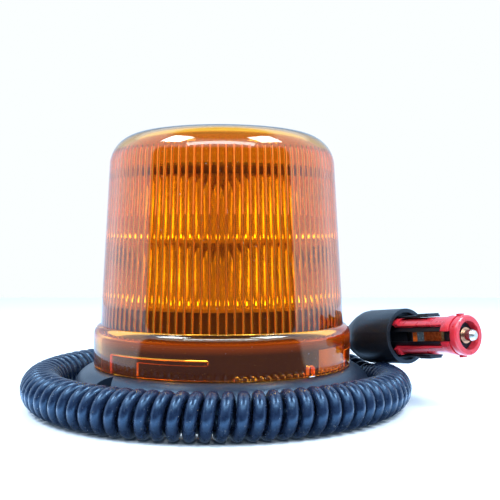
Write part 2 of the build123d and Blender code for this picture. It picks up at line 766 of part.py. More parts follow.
def make_contact_spring():
    start = SPRING_FLOOR + TIP_TRAVEL + 0.6
    length = PIN_COLLAR - start - 0.9
    spring = Pos(start, 0, 0) * Rot(0, 90, 0) * helix_spring(3.0, 0.4, length, 10)
    return place(spring)


def make_contact_bush():
    return place(barrel(CORE_END + 0.03, CORE_END + 2.2, 4.1, PIN_R + 0.06))


def make_side_contact(side):
    """A leaf along the plug with a bulge that stands out of the adapter's window."""
    outer = [
        (LEAF_REAR, LEAF_SEAT - 0.3),
        (BULGE_AT - 5.0, LEAF_SEAT + 0.2),
        (BULGE_AT - 2.6, BULGE_R - 0.8),
        (BULGE_AT, BULGE_R),
        (BULGE_AT + 2.4, BULGE_R - 0.7),
        (BULGE_AT + 5.4, LEAF_SEAT),
        (LEAF_FOOT - 1.0, LEAF_SEAT),
        (LEAF_FOOT, LEAF_SEAT - 0.7),
    ]
    inner = [(x, r - LEAF_T) for x, r in reversed(outer)]
    face = make_face(Polyline([(x, side * r, -LEAF_WIDTH / 2) for x, r in outer + inner], close=True))
    return place(extrude(face, LEAF_WIDTH, dir=(0, 0, 1)))


def make_adapter_sleeve():
    ring_part = lathe([
        (ARM_END, NOSE_BORE_R),
        (ARM_END, NOSE_R),
        (TIER_GROOVE, NOSE_R),
        (TIER_GROOVE, NOSE_R - 1.1),
        (TIER_GROOVE + 1.4, NOSE_R - 1.1),
        (TIER_GROOVE + 1.4, NOSE_R),
        (NOSE_LENGTH - 0.8, NOSE_R),
        (NOSE_LENGTH, NOSE_R - 0.8),
        (NOSE_LENGTH, NOSE_BORE_R),
    ])
    arms = barrel(-2.0, ARM_END + 1, ARM_R, ARM_R - ARM_T) + barrel(-2.0, 1.6, ARM_R + 1.5, ARM_R - ARM_T)
    wedge = sector(0.0, 20.0, -3.0, ARM_END, -WINDOW_HALF_ANGLE, 2 * WINDOW_HALF_ANGLE)
    window = Rot(0, 90, 0) * wedge
    windows = [Rot(angle, 0, 0) * window for angle in (90, -90)]
    tongue_ways = [block((5.0, 11.0, 3.0), (-0.6, 0, side * (ARM_R + 1.5))) for side in (-1, 1)]
    notch = block((6.6, 5.0, LEAF_WIDTH + 0.5), (TIER_GROOVE - 2.5, 9.0, 0))
    barb_way = block((3.2, 4.4, 3.0), (TIER_GROOVE - 3.0, 0, NOSE_R + 0.2))
    barb = block((2.2, 3.4, 2.4), (TIER_GROOVE + 0.2, 0, NOSE_R - 0.3))
    cuts = [turn * cut for turn in (Rot(0, 0, 0), Rot(180, 0, 0)) for cut in (notch, barb_way)]
    return place(arms - windows - tongue_ways + ring_part - cuts + barb + Rot(180, 0, 0) * barb)


def make_plug_lead():
    """The cord's last length: up from the coil's end face, over and into the plug's tail."""
    way = coil_way(COIL_END_TURN)
    start = coil_point(COIL_END_TURN) + way * LEAD_GAP
    end = (PLUG_FRAME * Pos(TAIL_END, 0, 0)).position
    rise = start + Vector(0.5, -0.8, 15.0)
    over = end - HEADING * 13.0 + Vector(0, 0, 1.5)
    bend = tube_along([tuple(p) for p in (start, rise, over, end)], CORD_R, tuple(way), tuple(HEADING))
    straight = place(barrel(TAIL_END, CORD_END, CORD_R))
    return bend + straight


def make_plug_wires():
    wires = []
    for side in (-1, 1):
        points = [(CORD_END + 0.2, 1.3), (-31.3, 1.8), (-29.0, 4.2), (-27.2, 8.4)]
        points += [(CORE_REAR - 0.5, 10.0), (CORE_REAR + 6.5, 10.0)]
        wires.append(tube_along([(x, side * y, 0) for x, y in points], 0.8, (1, 0, 0), (1, 0, 0)))
    return place(Compound(wires))


magnet_screws, magnet_nuts = make_magnet_screws()
parts = {
    "lens": make_lens(),
    "lens_seal": make_lens_seal(),
    "base_housing": make_base_housing(),
    "rating_labels": make_rating_labels(),
    "lens_catch": make_lens_catch(),
    "catch_spring": make_catch_spring(),
    "base_plate": make_base_plate(),
    "base_screws": make_base_screws(),
    "magnet_cups": make_magnet_cups(),
    "magnets": make_magnets(),
    "magnet_screws": magnet_screws,
    "magnet_nuts": magnet_nuts,
    "magnet_pad": make_magnet_pad(),
    "pedestal": make_pedestal(),
    "pedestal_screws": make_pedestal_screws(),
    "led_board_lower": make_led_board(0),
    "led_board_upper": make_led_board(1),
    "led_packages": make_led_packages(),
    "led_domes": make_led_domes(),
    "reflector_lower": make_reflector(0),
    "reflector_upper": make_reflector(1),
    "core_post": make_core_post(),
    "column_nuts": make_column_nut(),
    "top_plate": make_top_plate(),
    "driver_board": make_driver_board(),
    "board_screws": make_board_screws(),
    "driver_capacitors": make_driver_capacitors(),
    "driver_inductor": make_driver_inductor(),
    "driver_chips": make_driver_chips(),
    "supply_terminal": make_supply_terminal(),
    "led_wires": make_led_wires(),
    "supply_wires": make_supply_wires(),
    "cable_grommet": make_cable_grommet(),
    "coiled_cord": make_coiled_cord(),
    "plug_lead": make_plug_lead(),
    "plug_housing": make_plug_housing(),
    "plug_tail_sleeve": make_plug_tail_sleeve(),
    "plug_core": make_plug_core(),
    "centre_contact": make_centre_contact(),
    "contact_spring": make_contact_spring(),
    "contact_bush": make_contact_bush(),
    "side_contact_near": make_side_contact(-1),
    "side_contact_far": make_side_contact(1),
    "adapter_sleeve": make_adapter_sleeve(),
    "plug_wires": make_plug_wires(),
}

os.makedirs("parts", exist_ok=True)
for name, shape in parts.items():
    export_step(shape, f"parts/{name}.step")
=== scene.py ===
"""Looks of the magnetic amber beacon: meshes, materials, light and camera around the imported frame."""

import json
import random
from math import cos, pi, radians, sin, sqrt

import bmesh
import bpy
import numpy as np
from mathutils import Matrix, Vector


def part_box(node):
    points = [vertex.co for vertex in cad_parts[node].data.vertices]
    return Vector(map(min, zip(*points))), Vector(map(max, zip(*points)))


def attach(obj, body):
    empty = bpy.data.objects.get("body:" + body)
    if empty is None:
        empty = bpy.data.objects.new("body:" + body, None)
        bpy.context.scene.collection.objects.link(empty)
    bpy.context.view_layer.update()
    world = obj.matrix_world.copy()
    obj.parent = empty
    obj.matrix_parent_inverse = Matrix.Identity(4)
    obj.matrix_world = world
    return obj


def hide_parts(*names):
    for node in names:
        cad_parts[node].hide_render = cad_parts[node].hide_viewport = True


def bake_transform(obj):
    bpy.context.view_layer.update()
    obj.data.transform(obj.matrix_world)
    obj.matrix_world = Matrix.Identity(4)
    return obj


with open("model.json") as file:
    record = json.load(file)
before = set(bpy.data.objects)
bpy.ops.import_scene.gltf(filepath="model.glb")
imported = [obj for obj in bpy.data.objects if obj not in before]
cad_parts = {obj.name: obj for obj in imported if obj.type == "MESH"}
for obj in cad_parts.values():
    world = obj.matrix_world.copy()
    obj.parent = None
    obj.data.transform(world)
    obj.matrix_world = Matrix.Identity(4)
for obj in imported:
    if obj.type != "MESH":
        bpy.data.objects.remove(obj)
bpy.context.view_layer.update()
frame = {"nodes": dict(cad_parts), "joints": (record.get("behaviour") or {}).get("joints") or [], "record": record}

random.seed(7)

# Blender works in metres. The lens, the cord and the plug are laid out in millimetres and scaled by MM.
MM = 0.001

# Directions are in degrees from +X towards +Y. The camera faces the front. The plug lies on the +X side.
FRONT = -90.0

# The lens, from its packed box. Its wall leans in from its foot to its top, where a shoulder rounds it into
# the crown. Inside, the wall carries flutes, each several columns of points wide.
lens_low, lens_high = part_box("lens")
COLLAR_R = (lens_high[0] - lens_low[0]) / 2 / MM
COLLAR_LOW = lens_low[2] / MM
COLLAR_TOP = COLLAR_LOW + 15.8
COLLAR_CHAMFER = 0.5
BORE_R = COLLAR_R - 3.4
LEDGE = COLLAR_LOW + 16.3
EASED_EDGE = 0.3
WALL_LOW_R = COLLAR_R - 3.6
WALL_LOW = COLLAR_LOW + 21.2
WALL_TOP_R = COLLAR_R - 8.2
LENS_TOP = lens_high[2] / MM
WALL_TOP = LENS_TOP - 17.0
SHOULDER_END_R = 44.4
SHOULDER_END = LENS_TOP - 1.4
LENS_WALL = 3.1
CROWN_STEPS = 8
FLUTES = 100
FLUTE_DEPTH = 1.2
FLUTE_FOOT = WALL_LOW - 0.6
FLUTE_START = WALL_LOW - 0.55
COLUMNS = 12 * FLUTES

# Cuts in the collar's bore, with angles from the front: three bayonet grooves that open downwards at their
# entries, the catch's notch, and the scallops of the ratchet.
CUT_BEVEL = 0.25
CUT_LOW = COLLAR_LOW - 4
GROOVE_TURNS = (0, 120, 240)
GROOVE_START = -52.6
GROOVE_END = -3.4
GROOVE_ENTRY_END = -34.5
GROOVE_LOW = COLLAR_LOW + 7.0
GROOVE_HIGH = COLLAR_LOW + 9.5
GROOVE_DEPTH = 1.7
GROOVE_CORNER = 1.2
NOTCH_START = 38.5
NOTCH_END = 42.5
NOTCH_HIGH = COLLAR_LOW + 5.2
NOTCH_DEPTH = 3.2
NOTCH_CORNER = 1.4
SCALLOP_ANGLES = [7.7 + 3.2 * i for i in range(10)] + [46.0 + 3.2 * i for i in range(6)]
SCALLOP_RISE = 0.6
SCALLOP_R = 1.55
SCALLOP_DEPTH = 0.7
SCALLOP_BEVEL = 0.5

# Where the faces with painted glow lie: the steep sides of the grooves and of the notch, by depth behind the bore
# and by height, and the creases between flutes, by height.
CUT_SIDE_DEPTHS = ((0.75, 1.6), (1.8, 3.1))
CUT_SIDE_LOW = COLLAR_LOW + 0.8
CUT_SIDE_HIGH = LEDGE - 0.6
CREASE_HIGH = WALL_TOP + 4

# The cord. It starts inside the base's wall and comes out through the grommet.
CORD_R = 2.8
CORD_SIDES = 18
CAP_RISE = 0.3
ROOT_INSIDE = (6, 2)
GROMMET_REACH = 4.5
ROOT_SLACK = 5

# Its coil, a winding that runs round a ring. It is wound tighter and pressed down under the plug. Each turn
# is shifted a little along the ring, by a part of a turn, except over the end.
FLOOR_GAP = 0.05
COIL_CENTRE = (-2.2, 1.2)
COIL_RING_R = 92.4
COIL_START = 105.0
COIL_TURNS = 78.25
TURNS_PER_CIRCLE = 88
COIL_R_FRONT = 8.0
COIL_R_PLUG = 6.4
PLUG_AZIMUTH = 20.0
PRESSED_AZIMUTH = 22.0
PRESSED_SPAN = 15.0
PRESSED_DEPTH = 1.6
STEPS_PER_TURN = 26
LARGEST_SHIFT = 0.03
SHIFTLESS_END = 1

# The plug's own axis, from its joint and its mount, and places along it, counted from its housing's rim.
HEADING = Vector(next(j for j in frame["joints"] if j["name"] == "adapter_pull")["axis"]).normalized()
NOSE = Vector(next(m for m in frame["record"]["mounts"] if m["name"] == "socket_nose")["pos_m"]) / MM
NOSE_AT = 41.5
BULGE_END_AT = 20.0
TAIL_AT = -57.5
PLUG_RIM = NOSE - HEADING * NOSE_AT

# The lead from the coil's end to the plug: how it leaves the coil, rises and meets the plug's tail.
LEAD_DIP = Vector((0, 0, -0.6))
LEAD_RISE = Vector((0.5, -0.8, 22))
LEAD_APPROACH = 20
LEAD_LIFT = Vector((0, 0, 1.5))
LEAD_IN_TAIL = (4, 12)

# The view: level, at the lamp column's height, a little to the plug's side of the axis.
CAMERA_PLACE = (0.01475, -0.4185, 0.0811)
FOCAL_LENGTH = 55.94
SENSOR_WIDTH = 36.0

# Soft boxes above the beacon, in metres: one left, one right and a long one on the camera's side.
LAMP_AIM = (0, 0, 0.12)
LAMP_COLOUR = (0.75, 0.88, 1.0)
LAMPS = {
    "top_left": dict(place=(-0.42, -0.20, 0.80), width=0.30, depth=0.26, radiance=30.0),
    "top_right": dict(place=(0.42, -0.20, 0.80), width=0.30, depth=0.26, radiance=30.0),
    "top_front": dict(place=(0.0, -0.52, 0.66), width=0.80, depth=0.14, radiance=12.0),
}


# ---------------------------------------------------------------- mesh helpers


def finish_mesh(name, verts, faces, body, material, sharp):
    """A mesh object in metres, from points in millimetres, that rides on a body. Edges bent by more than
    sharp degrees stay hard."""
    mesh = bpy.data.meshes.new(name)
    mesh.from_pydata([tuple(MM * c for c in v) for v in verts], [], faces)
    mesh.validate()
    mesh.update()
    obj = bpy.data.objects.new(name, mesh)
    bpy.context.scene.collection.objects.link(obj)
    fix_normals(mesh)
    mesh.shade_smooth()
    mesh.set_sharp_from_angle(angle=radians(sharp))
    mesh.materials.append(material)
    if body:
        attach(obj, body)
    return obj


def fix_normals(mesh):
    work = bmesh.new()
    work.from_mesh(mesh)
    bmesh.ops.recalc_face_normals(work, faces=work.faces)
    work.to_mesh(mesh)
    work.free()


def ring_faces(rows, columns):
    """Quads between rows of points that each go round a closed ring."""
    faces = []
    for i in range(rows - 1):
        for j in range(columns):
            k = (j + 1) % columns
            a = i * columns
            b = a + columns
            faces.append((a + j, a + k, b + k, b + j))
    return faces


def arc(start, end, centre, steps):
    """Points after start up to end on a circle, in (radius, height)."""
    a0 = np.arctan2(start[1] - centre[1], start[0] - centre[0])
    a1 = np.arctan2(end[1] - centre[1], end[0] - centre[0])
    r = sqrt((start[0] - centre[0]) ** 2 + (start[1] - centre[1]) ** 2)
    angles = [a0 + (a1 - a0) * i / steps for i in range(1, steps + 1)]
    return [(centre[0] + r * cos(a), centre[1] + r * sin(a)) for a in angles]


def box_centre(node):
    """The middle of a node's packed box, in millimetres."""
    low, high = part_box(node)
    return Vector([(low[i] + high[i]) / 2 / MM for i in range(3)])


# ---------------------------------------------------------------- materials


WHITE = (1.0, 1.0, 1.0, 1.0)
# Painted bluish sheen: gloss tints that stand for the bluish light reflected by the black parts.
BLUISH_PAINTED_SHEEN = (0.50, 0.75, 1.0, 1.0)
CORD_PAINTED_SHEEN = (0.40, 0.68, 1.0, 1.0)
DUST = (0.6, 0.6, 0.62, 1.0)


class Graph:
    """The shader nodes of a material or of the world. The place is the shaded point or direction."""

    def __init__(self, owner, place="Object"):
        self.owner = owner
        owner.use_nodes = True
        self.tree = owner.node_tree
        self.tree.nodes.clear()
        self.place = self.add("ShaderNodeTexCoord").outputs[place]

    def add(self, kind, settings=None, **inputs):
        """Adds one node and sets or links its inputs, by number as in _0, or by name with _ for a space."""
        node = self.tree.nodes.new(kind)
        for key, value in (settings or {}).items():
            setattr(node, key, value)
        for key, value in inputs.items():
            number = key[1:]
            socket = node.inputs[int(number) if number.isdigit() else key.replace("_", " ")]
            if isinstance(value, bpy.types.NodeSocket):
                self.tree.links.new(value, socket)
            else:
                socket.default_value = value
        return node

    def noise(self, scale, detail, vector=None):
        node = self.add("ShaderNodeTexNoise", Vector=vector or self.place, Scale=scale, Detail=detail)
        return node.outputs["Fac"]

    def cells(self, scale):
        return self.add("ShaderNodeTexVoronoi", Vector=self.place, Scale=scale).outputs["Distance"]

    def spread(self, value, low, high, to_low=0.0, to_high=1.0):
        """Maps low..high of a value to to_low..to_high, clamped."""
        node = self.add("ShaderNodeMapRange", _0=value, _1=low, _2=high, _3=to_low, _4=to_high)
        return node.outputs[0]

    def uneven(self, noise, to_low=0.0, to_high=1.0):
        """Maps the middle of a noise's range, where most of it lies, to to_low..to_high."""
        return self.spread(noise, 0.3, 0.7, to_low, to_high)

    def math(self, operation, a, b):
        return self.add("ShaderNodeMath", {"operation": operation}, _0=a, _1=b).outputs[0]

    def vector_math(self, operation, a, **inputs):
        return self.add("ShaderNodeVectorMath", {"operation": operation}, _0=a, **inputs)

    def axes(self, vector):
        """The x, y and z parts of a vector."""
        return self.add("ShaderNodeSeparateXYZ", _0=vector).outputs

    def stretch(self, x, y, z):
        """The place, scaled unevenly, for grain that runs one way."""
        return self.vector_math("MULTIPLY", self.place, _1=(x, y, z)).outputs[0]

    def mix(self, share, first, second):
        node = self.add("ShaderNodeMix", {"data_type": "RGBA"}, _0=share, _6=first, _7=second)
        return node.outputs[2]

    def bump(self, height, strength, distance):
        return self.add("ShaderNodeBump", Strength=strength, Distance=distance, Height=height).outputs[0]

    def surface(self, **inputs):
        return self.add("ShaderNodeBsdfPrincipled", **inputs).outputs[0]

    def mix_shaders(self, share, first, second):
        return self.add("ShaderNodeMixShader", _0=share, _1=first, _2=second).outputs[0]

    def ray(self, kind):
        """One where the ray is of a kind, such as Is Camera Ray, else zero."""
        return self.add("ShaderNodeLightPath").outputs[kind]

    def output(self, shader):
        self.add("ShaderNodeOutputMaterial", Surface=shader)
        return self.owner


def new_graph(name):
    return Graph(bpy.data.materials.new(name))


def scaled(colour, share):
    """A colour made darker or lighter, as RGBA."""
    return (colour[0] * share, colour[1] * share, colour[2] * share, 1.0)


def moulded(
    name, colour, rough, grain=3500.0, depth=0.00002, strength=0.35, specular=0.5, dust=0.0, sheen=WHITE
):
    """Moulded plastic or rubber: fine grain, uneven gloss and colour, with a little dust."""
    g = new_graph(name)
    fine = g.noise(grain, 4.0)
    broad = g.noise(60.0, 5.0)
    tone = g.mix(g.uneven(broad), scaled(colour, 0.8), scaled(colour, 1.25))
    if dust:
        specks = g.spread(g.noise(2600.0, 2.0), 0.70, 0.76, 0.0, dust)
        tone = g.mix(specks, tone, DUST)
    patchy = g.uneven(broad, rough - 0.05, rough + 0.06)
    gloss = g.math("ADD", patchy, g.uneven(fine, 0, 0.04))
    normal = g.bump(fine, strength, depth)
    return g.output(g.surface(
        Base_Color=tone, Roughness=gloss, Normal=normal, Specular_IOR_Level=specular, Specular_Tint=sheen,
    ))


def scratched(g, tone, polish, strength):
    """A metal surface whose gloss and relief show fine lines that run one way."""
    lines = g.noise(900.0, 6.0, g.stretch(1.0, 6.0, 0.4))
    gloss = g.math("ADD", polish, g.spread(lines, 0.4, 0.6, 0, 0.06))
    normal = g.bump(lines, strength, 0.000015)
    return g.output(g.surface(Base_Color=tone, Metallic=1.0, Roughness=gloss, Normal=normal))


def metal(name, colour, rough, scratch=0.3, tarnish=None):
    """Metal with fine scratches, uneven polish and darker tarnish in patches."""
    g = new_graph(name)
    patches = g.noise(240.0, 5.0)
    tone = g.mix(g.spread(patches, 0.45, 0.75), scaled(colour, 1.0), tarnish or scaled(colour, 0.62))
    return scratched(g, tone, g.uneven(patches, rough - 0.06, rough + 0.10), scratch)


def side_contact():
    """A leaf spring: tinned and bright from its rear over its bulge, bare and browned towards its foot."""
    g = new_graph("side_contact")
    along = g.vector_math("DOT_PRODUCT", g.place, _1=HEADING).outputs["Value"]
    bulge_end = (PLUG_RIM.dot(HEADING) + BULGE_END_AT) * MM
    bare = g.spread(along, bulge_end - 0.0006, bulge_end)
    patches = g.spread(g.noise(700.0, 4.0), 0.4, 0.65)
    brown = g.mix(patches, (0.50, 0.24, 0.09, 1.0), (0.26, 0.11, 0.04, 1.0))
    tinned = g.mix(patches, (0.82, 0.80, 0.74, 1.0), (0.60, 0.55, 0.46, 1.0))
    return scratched(g, g.mix(bare, tinned, brown), g.spread(bare, 0.0, 1.0, 0.10, 0.30), 0.3)


def amber_lens():
    """Clear amber polycarbonate. Lamps shine through it as tinted light, as they do in the real thing."""
    g = new_graph("amber_lens")
    smears = g.noise(90.0, 4.0)
    fine_lines = g.noise(700.0, 4.0, g.stretch(1.0, 1.0, 0.15))
    patches = g.uneven(g.noise(25.0, 2.0))
    tint = g.mix(patches, (0.86, 0.345, 0.02, 1.0), (0.88, 0.37, 0.03, 1.0))
    glass = g.surface(
        Base_Color=tint, Roughness=g.spread(smears, 0.35, 0.75, 0.012, 0.05), IOR=1.58,
        Transmission_Weight=1.0, Normal=g.bump(fine_lines, 0.04, 0.00001),
        Specular_Tint=(1.0, 0.97, 0.88, 1.0),
        # Painted glow in the collar: an emission, not light from a lamp.
        Emission_Color=(1.0, 0.17, 0.01, 1.0), Emission_Strength=painted_collar_glow(g),
    )
    dust = g.add("ShaderNodeBsdfDiffuse", Color=(0.75, 0.74, 0.72, 1.0)).outputs[0]
    dusty = g.mix_shaders(g.spread(g.noise(1500.0, 1.0), 0.79, 0.81), glass, dust)
    through = g.add("ShaderNodeBsdfTransparent", Color=(0.455, 0.30, 0.085, 1.0)).outputs[0]
    return g.output(g.mix_shaders(g.ray("Is Shadow Ray"), dusty, through))


def painted_collar_glow(g):
    """Painted glow: an emission that stands for light led down into the collar, faint over its height, stronger at
    its top, none above it.
    """
    height = g.axes(g.place)[2]
    rising = g.spread(height, MM * (COLLAR_TOP - 4), MM * LEDGE, 0.018, 0.12)
    below = g.spread(height, MM * LEDGE, MM * (LEDGE + 2), 1.0, 0.0)
    return g.math("MULTIPLY", rising, below)


def amber_edge_painted_glow(name, strength):
    """Amber edges and creases with a painted glow: an emission that stands for light led along the wall coming out
    here.
    """
    g = new_graph(name)
    wear = g.noise(800.0, 3.0)
    tint = g.mix(g.uneven(wear), (1.0, 0.16, 0.01, 1.0), (1.0, 0.26, 0.02, 1.0))
    return g.output(g.surface(
        Base_Color=tint, Roughness=0.25, IOR=1.58, Transmission_Weight=0.6,
        Normal=g.bump(wear, 0.2, 0.00003),
        Emission_Color=(1.0, 0.20, 0.012, 1.0), Emission_Strength=strength,
    ))


def spark_eroded():
    """Black ABS from a spark-eroded mould: a satin face broken by tiny glinting pits, with a painted navy tone and
    bluish sheen that stand for bluish light.
    """
    g = new_graph("base_black")
    pits = g.cells(2300.0)
    fine = g.noise(5200.0, 3.0)
    broad = g.noise(45.0, 4.0)
    # Painted light: the navy tone stands for the bluish light on the black plastic.
    tone = g.mix(g.uneven(broad), (0.008, 0.012, 0.022, 1.0), (0.012, 0.018, 0.032, 1.0))
    gloss = g.uneven(fine, 0.24, 0.40)
    height = g.math("ADD", pits, g.math("MULTIPLY", fine, 0.6))
    normal = g.bump(height, 0.5, 0.00006)
    return g.output(g.surface(
        Base_Color=tone, Roughness=gloss, Normal=normal, Specular_IOR_Level=0.5, Specular_Tint=BLUISH_PAINTED_SHEEN,
    ))


def cord_jacket():
    """Black polyurethane jacket: satin, with faint flow marks and specks of dust. Its navy tone and bluish sheen
    are painted, and stand for the bluish light on it.
    """
    g = new_graph("cord_jacket")
    flow = g.noise(420.0, 3.0)
    fine = g.noise(4200.0, 2.0)
    # Painted light: the navy tone stands for the bluish light on the black jacket.
    tone = g.mix(g.spread(flow, 0.35, 0.7), (0.006, 0.012, 0.030, 1.0), (0.010, 0.018, 0.042, 1.0))
    specks = g.spread(g.noise(1700.0, 1.0), 0.74, 0.76, 0.0, 0.6)
    tone = g.mix(specks, tone, (0.5, 0.5, 0.5, 1.0))
    gloss = g.uneven(flow, 0.23, 0.34)
    normal = g.bump(g.math("ADD", flow, g.math("MULTIPLY", fine, 0.25)), 0.18, 0.00008)
    return g.output(g.surface(Base_Color=tone, Roughness=gloss, Normal=normal, Specular_Tint=CORD_PAINTED_SHEEN))


def red_nylon():
    """Red nylon: softly glossy, with a faint grain and a little light inside it."""
    g = new_graph("red_nylon")
    broad = g.noise(140.0, 4.0)
    fine = g.noise(2600.0, 3.0)
    tone = g.mix(g.uneven(broad), (0.50, 0.014, 0.026, 1.0), (0.60, 0.026, 0.042, 1.0))
    gloss = g.uneven(broad, 0.24, 0.36)
    return g.output(g.surface(
        Base_Color=tone, Roughness=gloss, Normal=g.bump(fine, 0.12, 0.00003),
        Subsurface_Weight=0.12, Subsurface_Scale=0.001, Coat_Weight=0.25, Coat_Roughness=0.2,
    ))


def phosphor():
    """Yellow phosphor under silicone, with a glow that stands for its strong fluorescence."""
    g = new_graph("phosphor")
    grain = g.noise(5000.0, 3.0)
    tone = g.mix(g.uneven(grain), (0.95, 0.62, 0.03, 1.0), (1.0, 0.78, 0.08, 1.0))
    return g.output(g.surface(
        Base_Color=tone, Roughness=g.uneven(grain, 0.12, 0.3), Coat_Weight=0.6,
        Emission_Color=(1.0, 0.72, 0.06, 1.0), Emission_Strength=9.0,
    ))


def circuit(name, mask, trace):
    """A board: solder mask with a faint pattern of copper tracks under it."""
    g = new_graph(name)
    bricks = g.add("ShaderNodeTexBrick", Vector=g.place, Scale=160.0, Mortar_Size=0.03)
    tracks = g.spread(bricks.outputs["Fac"], 0.4, 0.6)
    fine = g.noise(1800.0, 3.0)
    tone = g.mix(g.math("MULTIPLY", tracks, 0.7), scaled(mask, 1.0), scaled(trace, 1.0))
    gloss = g.uneven(fine, 0.28, 0.42)
    normal = g.bump(g.math("ADD", tracks, g.math("MULTIPLY", fine, 0.2)), 0.3, 0.00003)
    return g.output(g.surface(Base_Color=tone, Roughness=gloss, Normal=normal))


def paper_with_painted_sheen():
    """White paper. Only glossy rays see a painted bluish sheen instead, a painted reflection in the gloss of the
    black
    parts: in a ring round the cord, which fades with distance, at the sides and behind, and hardly towards the
    camera."""
    g = new_graph("floor_white")
    tone = g.mix(g.noise(8.0, 3.0), (0.90, 0.90, 0.90, 1.0), (0.93, 0.93, 0.93, 1.0))
    paper = g.surface(Base_Color=tone, Roughness=0.35, Specular_IOR_Level=0.3)
    # The direction from the beacon counts from -1 towards the camera to 1 straight behind.
    away = g.vector_math("LENGTH", g.place).outputs["Value"]
    ring = g.math("MULTIPLY", g.spread(away, 0.100, 0.125), g.spread(away, 0.13, 0.19, 7.0, 0.0))
    behind = g.math("DIVIDE", g.axes(g.place)[1], away)
    sides = g.spread(behind, -0.42, -0.36, 0.3, 1.8)
    power = g.math("MAXIMUM", ring, sides)
    # The painted reflection: an emission that only glossy rays see.
    sheen = g.add("ShaderNodeEmission", Color=(0.45, 0.68, 1.0, 1.0), Strength=power).outputs[0]
    return g.output(g.mix_shaders(g.ray("Is Glossy Ray"), paper, sheen))


MOULDED_LOOKS = {
    "black_rubber": dict(
        colour=(0.018, 0.019, 0.023), rough=0.62, grain=1500.0, depth=0.00008, strength=0.5,
        specular=0.35, dust=0.25,
    ),
    "plug_black": dict(
        colour=(0.010, 0.010, 0.012), rough=0.36, grain=3000.0, depth=0.00003, specular=0.55,
        # The bluish sheen is painted: it stands for bluish light in the gloss.
        dust=0.35, sheen=BLUISH_PAINTED_SHEEN,
    ),
    "led_package": dict(colour=(0.82, 0.81, 0.76), rough=0.3, grain=2500.0, strength=0.3),
    "capacitor": dict(colour=(0.03, 0.04, 0.07), rough=0.28, grain=1200.0, depth=0.00003, strength=0.25),
    "ferrite": dict(colour=(0.07, 0.07, 0.075), rough=0.55, grain=2200.0, depth=0.00008, strength=0.6),
    "chip": dict(colour=(0.025, 0.025, 0.027), rough=0.48, grain=4000.0, depth=0.00003, strength=0.5),
    "terminal": dict(colour=(0.03, 0.26, 0.09), rough=0.34, grain=2500.0, depth=0.00003, strength=0.3),
    "column_grey": dict(colour=(0.13, 0.11, 0.10), rough=0.3, grain=2600.0, depth=0.00003, strength=0.3),
    "label": dict(
        colour=(0.78, 0.72, 0.45), rough=0.4, grain=2600.0, depth=0.00001, strength=0.2, dust=0.2,
    ),
    "wire": dict(colour=(0.45, 0.02, 0.02), rough=0.38, grain=1800.0, depth=0.00003, strength=0.3),
}
METAL_LOOKS = {
    "nickel": dict(colour=(0.66, 0.63, 0.57), rough=0.26, scratch=0.2),
    "copper": dict(colour=(0.72, 0.36, 0.22), rough=0.22),
    "spring_steel": dict(colour=(0.55, 0.53, 0.50), rough=0.26),
    "screw_steel": dict(colour=(0.62, 0.62, 0.63), rough=0.28),
    "zinc_plate": dict(colour=(0.60, 0.61, 0.64), rough=0.34, scratch=0.5),
    "magnet": dict(colour=(0.45, 0.45, 0.47), rough=0.3),
    "reflector": dict(colour=(0.86, 0.86, 0.88), rough=0.22, scratch=0.1, tarnish=(0.74, 0.74, 0.77, 1.0)),
}
MATERIALS = {
    "amber_lens": amber_lens(),
    "black_housing": spark_eroded(),
    "black_cord": cord_jacket(),
    "red_adapter": red_nylon(),
    "brass": side_contact(),
    "phosphor": phosphor(),
    "led_board": circuit("led_board", (0.80, 0.81, 0.79), (0.68, 0.70, 0.68)),
    "green_board": circuit("green_board", (0.02, 0.20, 0.07), (0.05, 0.30, 0.10)),
    **{name: moulded(name, **look) for name, look in MOULDED_LOOKS.items()},
    **{name: metal(name, **look) for name, look in METAL_LOOKS.items()},
}

# Nodes whose look isn't their slot's, and the widths in millimetres of edges that a mould leaves rounded.
OWN_LOOKS = {"top_plate": "column_grey", "pedestal": "column_grey"}
SOFT_EDGES = {
    "adapter_sleeve": 0.22,
    "plug_housing": 0.25,
    "base_housing": 0.2,
    "top_plate": 0.3,
    "lens_catch": 0.1,
}


def soften(obj, width):
    """Rounds a node's hard edges as a mould would, without touching its own mesh."""
    weld = obj.modifiers.new("weld", "WELD")
    weld.merge_threshold = 0.000002
    bevel = obj.modifiers.new("bevel", "BEVEL")
    bevel.width = width
    bevel.segments = 2
    bevel.limit_method = "ANGLE"
    bevel.angle_limit = radians(35)
    bevel.harden_normals = True


def dress_cad_nodes():
    """Gives every CAD node its material, and softly rounded edges to some."""
    slots = {part["node"]: part["material_slot"] for part in frame["record"]["subparts"]}
    for name, obj in frame["nodes"].items():
        obj.data.materials.clear()
        obj.data.materials.append(MATERIALS[OWN_LOOKS.get(name, slots[name])])
        for polygon in obj.data.polygons:
            polygon.material_index = 0
        if name in SOFT_EDGES:
            soften(obj, SOFT_EDGES[name] * MM)


# ---------------------------------------------------------------- lens


def dome_profile(inset, shoulder_steps):
    """(radius, height) from near the axis down to the wall's top, inset from the dome's outside."""
    rise = LENS_TOP - SHOULDER_END
    crown_r = (SHOULDER_END_R**2 + rise**2) / (2 * rise)
    top = LENS_TOP - inset
    points = []
    for i in range(1, CROWN_STEPS + 1):
        r = SHOULDER_END_R * i / CROWN_STEPS
        points.append((r, top - crown_r + sqrt(crown_r**2 - r**2)))
    start = points[-1]
    end = (WALL_TOP_R - inset, WALL_TOP)
    way = Vector((WALL_LOW_R - WALL_TOP_R, WALL_LOW - WALL_TOP)).normalized()
    inward = Vector((way.y, -way.x))
    chord = Vector(start) - Vector(end)
    radius = chord.length_squared / (2 * chord.dot(inward))
    centre = Vector(end) + inward * radius
    return points + arc(start, end, centre, shoulder_steps)


